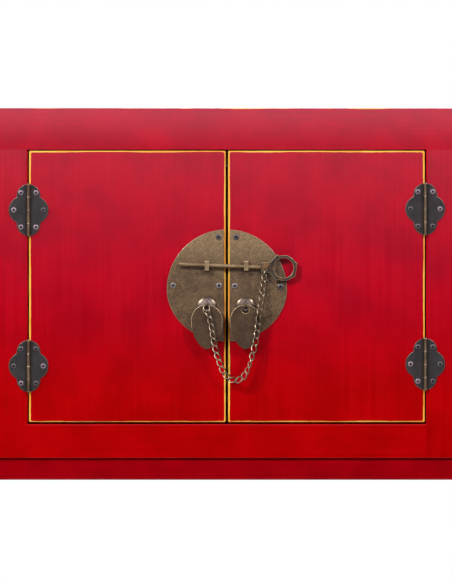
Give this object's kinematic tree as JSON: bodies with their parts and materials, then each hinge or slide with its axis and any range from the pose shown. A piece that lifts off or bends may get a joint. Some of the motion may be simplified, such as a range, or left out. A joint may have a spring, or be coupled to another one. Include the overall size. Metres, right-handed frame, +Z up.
{
  "type": "lacquered console table",
  "caption": "Narrow console table with a two-door cupboard on square corner posts, leaf hinges, a round split lock plate, a sliding bolt on a chain and drop pulls.",
  "frame": {"origin": "centre of the bounding box on the floor, under the middle of the table", "axes": "+Z up, +X to the right as seen from the front, -Y towards the viewer in front of the doors"},
  "size_m": [0.63, 0.2832, 0.83],
  "materials": {
    "red_lacquer": "satin red lacquer over wood, rubbed through to yellow along its edges",
    "stained_wood": "matt dark stain",
    "aged_brass": "aged, brown and speckled",
    "dark_bronze": "nearly black patina",
    "yellow_brass": "worn, with dark hollows",
    "grey_iron": "dark and worn"
  },
  "bodies": {
    "frame": {"leg_front_left": "red_lacquer", "leg_front_right": "red_lacquer", "leg_back_left": "red_lacquer", "leg_back_right": "red_lacquer", "top_front_rail": "red_lacquer", "top_back_rail": "red_lacquer", "top_left_rail": "red_lacquer", "top_right_rail": "red_lacquer", "top_panel": "red_lacquer", "left_stile": "red_lacquer", "right_stile": "red_lacquer", "bottom_rail": "red_lacquer", "left_side_panel": "red_lacquer", "right_side_panel": "red_lacquer", "back_panel": "stained_wood", "floor_panel": "stained_wood", "door_stop": "stained_wood", "front_apron": "red_lacquer", "back_apron": "red_lacquer", "left_apron": "red_lacquer", "right_apron": "red_lacquer", "left_upper_hinge_frame_leaf": "dark_bronze", "left_upper_hinge_pin": "yellow_brass", "left_lower_hinge_frame_leaf": "dark_bronze", "left_lower_hinge_pin": "yellow_brass", "right_upper_hinge_frame_leaf": "dark_bronze", "right_upper_hinge_pin": "yellow_brass", "right_lower_hinge_frame_leaf": "dark_bronze", "right_lower_hinge_pin": "yellow_brass"},
    "left_door": {"left_door": "red_lacquer", "left_upper_hinge_door_leaf": "dark_bronze", "left_lower_hinge_door_leaf": "dark_bronze", "left_lock_plate": "aged_brass", "left_bolt_keeper": "aged_brass", "left_pull_boss": "aged_brass", "left_pull_eye": "yellow_brass", "chain": "yellow_brass"},
    "right_door": {"right_door": "red_lacquer", "right_upper_hinge_door_leaf": "dark_bronze", "right_lower_hinge_door_leaf": "dark_bronze", "right_lock_plate": "aged_brass", "right_bolt_keeper": "aged_brass", "right_pull_boss": "aged_brass", "right_pull_eye": "yellow_brass"},
    "bolt": {"bolt": "grey_iron"},
    "left_pull": {"left_pull_tab": "aged_brass"},
    "right_pull": {"right_pull_tab": "aged_brass"}
  },
  "joints": [
    {"name": "left_door_swing", "type": "hinge", "parent": "frame", "child": "left_door", "pos_m": [-0.1983, -0.1305, 0.6485], "axis": [0, 0, -1], "range_deg": [0, 165]},
    {"name": "right_door_swing", "type": "hinge", "parent": "frame", "child": "right_door", "pos_m": [0.1983, -0.1305, 0.6485], "axis": [0, 0, 1], "range_deg": [0, 165], "deforming": ["chain"]},
    {"name": "bolt_slide", "type": "slide", "parent": "left_door", "child": "bolt", "axis": [0.9993, 0, -0.0384], "range_m": [0, 0.075], "deforming": ["chain"]},
    {"name": "left_pull_swing", "type": "hinge", "parent": "left_door", "child": "left_pull", "pos_m": [-0.0201, -0.13725, 0.63445], "axis": [-1, 0, 0], "range_deg": [-9, 90], "deforming": ["chain"]},
    {"name": "right_pull_swing", "type": "hinge", "parent": "right_door", "child": "right_pull", "pos_m": [0.0185, -0.13725, 0.63445], "axis": [-1, 0, 0], "range_deg": [-9, 90], "deforming": ["chain"]}
  ]
}
